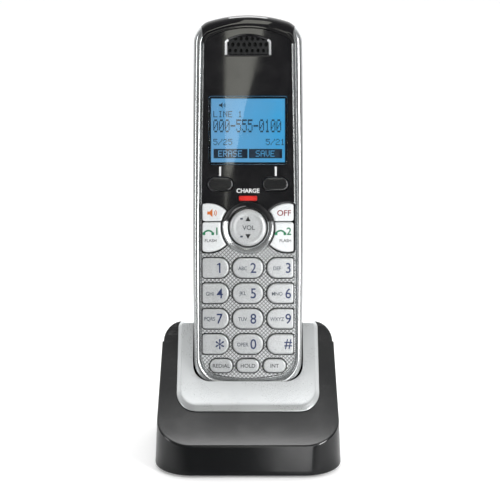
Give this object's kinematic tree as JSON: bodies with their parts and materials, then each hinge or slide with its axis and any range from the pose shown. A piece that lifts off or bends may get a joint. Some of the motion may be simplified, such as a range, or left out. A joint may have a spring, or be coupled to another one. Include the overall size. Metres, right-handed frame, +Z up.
{
  "type": "cordless phone with base",
  "caption": "Slim cordless telephone handset with display, keypad and removable battery door, standing upright in a small charging cradle with a silver inlay plate.",
  "frame": {"origin": "on the surface that the cradle stands on, under the middle of the whole object's box", "axes": "+Z up, the keys and display face -Y, +X is to the right of someone facing the keys"},
  "size_m": [0.0828, 0.0982, 0.1915],
  "materials": {
    "silver_frame": "metallic silver paint on moulded plastic, satin gloss",
    "silver_plate": "metallic silver paint on moulded plastic, semi gloss",
    "black_gloss": "piano black, highly polished",
    "black_satin": "fine satin texture",
    "cradle_black": "semi gloss moulded black",
    "dark_keys": "smoked grey, polished",
    "silver_keys": "pearl silver, satin",
    "clear_window": "clear moulded window",
    "lcd": "blue lit liquid crystal display",
    "diffuser": "white light guide",
    "red_light": "red translucent light pipe",
    "silicone": "grey silicone",
    "circuit_board": "green solder mask",
    "battery_wrap": "shrink wrap",
    "rubber_feet": "matt rubber",
    "plated_metal": "bright plated steel"
  },
  "bodies": {
    "cradle": {"base_screw_front_left": "plated_metal", "base_screw_front_right": "plated_metal", "base_screw_rear_left": "plated_metal", "base_screw_rear_right": "plated_metal", "cradle_base": "cradle_black", "cradle_board": "circuit_board", "cradle_body": "cradle_black", "cradle_contact_left": "plated_metal", "cradle_contact_right": "plated_metal", "cradle_plate": "silver_plate", "foot_front_left": "rubber_feet", "foot_front_right": "rubber_feet", "foot_rear_left": "rubber_feet", "foot_rear_right": "rubber_feet", "power_inlet": "cradle_black"},
    "handset": {"antenna": "plated_metal", "battery_pack": "battery_wrap", "charge_light_pipe": "red_light", "display_window": "clear_window", "earpiece_grille": "black_satin", "earpiece_speaker": "plated_metal", "face_lens": "black_gloss", "front_shell": "silver_frame", "handset_contact_left": "plated_metal", "handset_contact_right": "plated_metal", "keypad_mat": "silicone", "keypad_panel": "silver_frame", "lcd_backlight": "diffuser", "lcd_module": "lcd", "loudspeaker": "plated_metal", "main_board": "circuit_board", "microphone": "plated_metal", "radio_shield": "plated_metal", "rear_screw_left": "plated_metal", "rear_screw_right": "plated_metal", "rear_shell": "black_satin", "top_cap": "black_gloss"},
    "key_0": {"key_0": "silver_keys"},
    "key_1": {"key_1": "silver_keys"},
    "key_2": {"key_2": "silver_keys"},
    "key_3": {"key_3": "silver_keys"},
    "key_4": {"key_4": "silver_keys"},
    "key_5": {"key_5": "silver_keys"},
    "key_6": {"key_6": "silver_keys"},
    "key_7": {"key_7": "silver_keys"},
    "key_8": {"key_8": "silver_keys"},
    "key_9": {"key_9": "silver_keys"},
    "key_hash": {"key_hash": "silver_keys"},
    "key_hold": {"key_hold": "silver_keys"},
    "key_intercom": {"key_intercom": "silver_keys"},
    "key_line_1": {"key_line_1": "silver_keys"},
    "key_line_2": {"key_line_2": "silver_keys"},
    "key_off": {"key_off": "silver_keys"},
    "key_redial": {"key_redial": "silver_keys"},
    "key_speaker": {"key_speaker": "silver_keys"},
    "key_star": {"key_star": "silver_keys"},
    "soft_key_left": {"soft_key_left": "dark_keys"},
    "soft_key_right": {"soft_key_right": "dark_keys"},
    "volume_rocker": {"volume_rocker": "silver_keys"},
    "battery_door": {"battery_door": "black_satin"}
  },
  "joints": [
    {"name": "handset_lift", "type": "slide", "parent": "cradle", "child": "handset", "axis": [0, 0.2588, 0.9659], "range_m": [0, 0.09]},
    {"name": "key_0_press", "type": "slide", "parent": "handset", "child": "key_0", "axis": [0, 0.9659, -0.2588], "range_m": [0, 0.0008], "stiffness_N_per_m": 400},
    {"name": "key_1_press", "type": "slide", "parent": "handset", "child": "key_1", "axis": [0, 0.9659, -0.2588], "range_m": [0, 0.0008], "stiffness_N_per_m": 400},
    {"name": "key_2_press", "type": "slide", "parent": "handset", "child": "key_2", "axis": [0, 0.9659, -0.2588], "range_m": [0, 0.0008], "stiffness_N_per_m": 400},
    {"name": "key_3_press", "type": "slide", "parent": "handset", "child": "key_3", "axis": [0, 0.9659, -0.2588], "range_m": [0, 0.0008], "stiffness_N_per_m": 400},
    {"name": "key_4_press", "type": "slide", "parent": "handset", "child": "key_4", "axis": [0, 0.9659, -0.2588], "range_m": [0, 0.0008], "stiffness_N_per_m": 400},
    {"name": "key_5_press", "type": "slide", "parent": "handset", "child": "key_5", "axis": [0, 0.9659, -0.2588], "range_m": [0, 0.0008], "stiffness_N_per_m": 400},
    {"name": "key_6_press", "type": "slide", "parent": "handset", "child": "key_6", "axis": [0, 0.9659, -0.2588], "range_m": [0, 0.0008], "stiffness_N_per_m": 400},
    {"name": "key_7_press", "type": "slide", "parent": "handset", "child": "key_7", "axis": [0, 0.9659, -0.2588], "range_m": [0, 0.0008], "stiffness_N_per_m": 400},
    {"name": "key_8_press", "type": "slide", "parent": "handset", "child": "key_8", "axis": [0, 0.9659, -0.2588], "range_m": [0, 0.0008], "stiffness_N_per_m": 400},
    {"name": "key_9_press", "type": "slide", "parent": "handset", "child": "key_9", "axis": [0, 0.9659, -0.2588], "range_m": [0, 0.0008], "stiffness_N_per_m": 400},
    {"name": "key_hash_press", "type": "slide", "parent": "handset", "child": "key_hash", "axis": [0, 0.9659, -0.2588], "range_m": [0, 0.0008], "stiffness_N_per_m": 400},
    {"name": "key_hold_press", "type": "slide", "parent": "handset", "child": "key_hold", "axis": [0, 0.9659, -0.2588], "range_m": [0, 0.0008], "stiffness_N_per_m": 400},
    {"name": "key_intercom_press", "type": "slide", "parent": "handset", "child": "key_intercom", "axis": [0, 0.9659, -0.2588], "range_m": [0, 0.0008], "stiffness_N_per_m": 400},
    {"name": "key_line_1_press", "type": "slide", "parent": "handset", "child": "key_line_1", "axis": [0, 0.9659, -0.2588], "range_m": [0, 0.0008], "stiffness_N_per_m": 400},
    {"name": "key_line_2_press", "type": "slide", "parent": "handset", "child": "key_line_2", "axis": [0, 0.9659, -0.2588], "range_m": [0, 0.0008], "stiffness_N_per_m": 400},
    {"name": "key_off_press", "type": "slide", "parent": "handset", "child": "key_off", "axis": [0, 0.9659, -0.2588], "range_m": [0, 0.0008], "stiffness_N_per_m": 400},
    {"name": "key_redial_press", "type": "slide", "parent": "handset", "child": "key_redial", "axis": [0, 0.9659, -0.2588], "range_m": [0, 0.0008], "stiffness_N_per_m": 400},
    {"name": "key_speaker_press", "type": "slide", "parent": "handset", "child": "key_speaker", "axis": [0, 0.9659, -0.2588], "range_m": [0, 0.0008], "stiffness_N_per_m": 400},
    {"name": "key_star_press", "type": "slide", "parent": "handset", "child": "key_star", "axis": [0, 0.9659, -0.2588], "range_m": [0, 0.0008], "stiffness_N_per_m": 400},
    {"name": "soft_key_left_press", "type": "slide", "parent": "handset", "child": "soft_key_left", "axis": [0, 0.9659, -0.2588], "range_m": [0, 0.0008], "stiffness_N_per_m": 400},
    {"name": "soft_key_right_press", "type": "slide", "parent": "handset", "child": "soft_key_right", "axis": [0, 0.9659, -0.2588], "range_m": [0, 0.0008], "stiffness_N_per_m": 400},
    {"name": "volume_rocker_tilt", "type": "hinge", "parent": "handset", "child": "volume_rocker", "pos_m": [0, 0.00406, 0.09926], "axis": [1, 0, 0], "range_deg": [-3, 3], "stiffness_Nm_per_rad": 0.05},
    {"name": "battery_door_slide", "type": "slide", "parent": "handset", "child": "battery_door", "axis": [0, -0.2588, -0.9659], "range_m": [0, 0.008]}
  ]
}
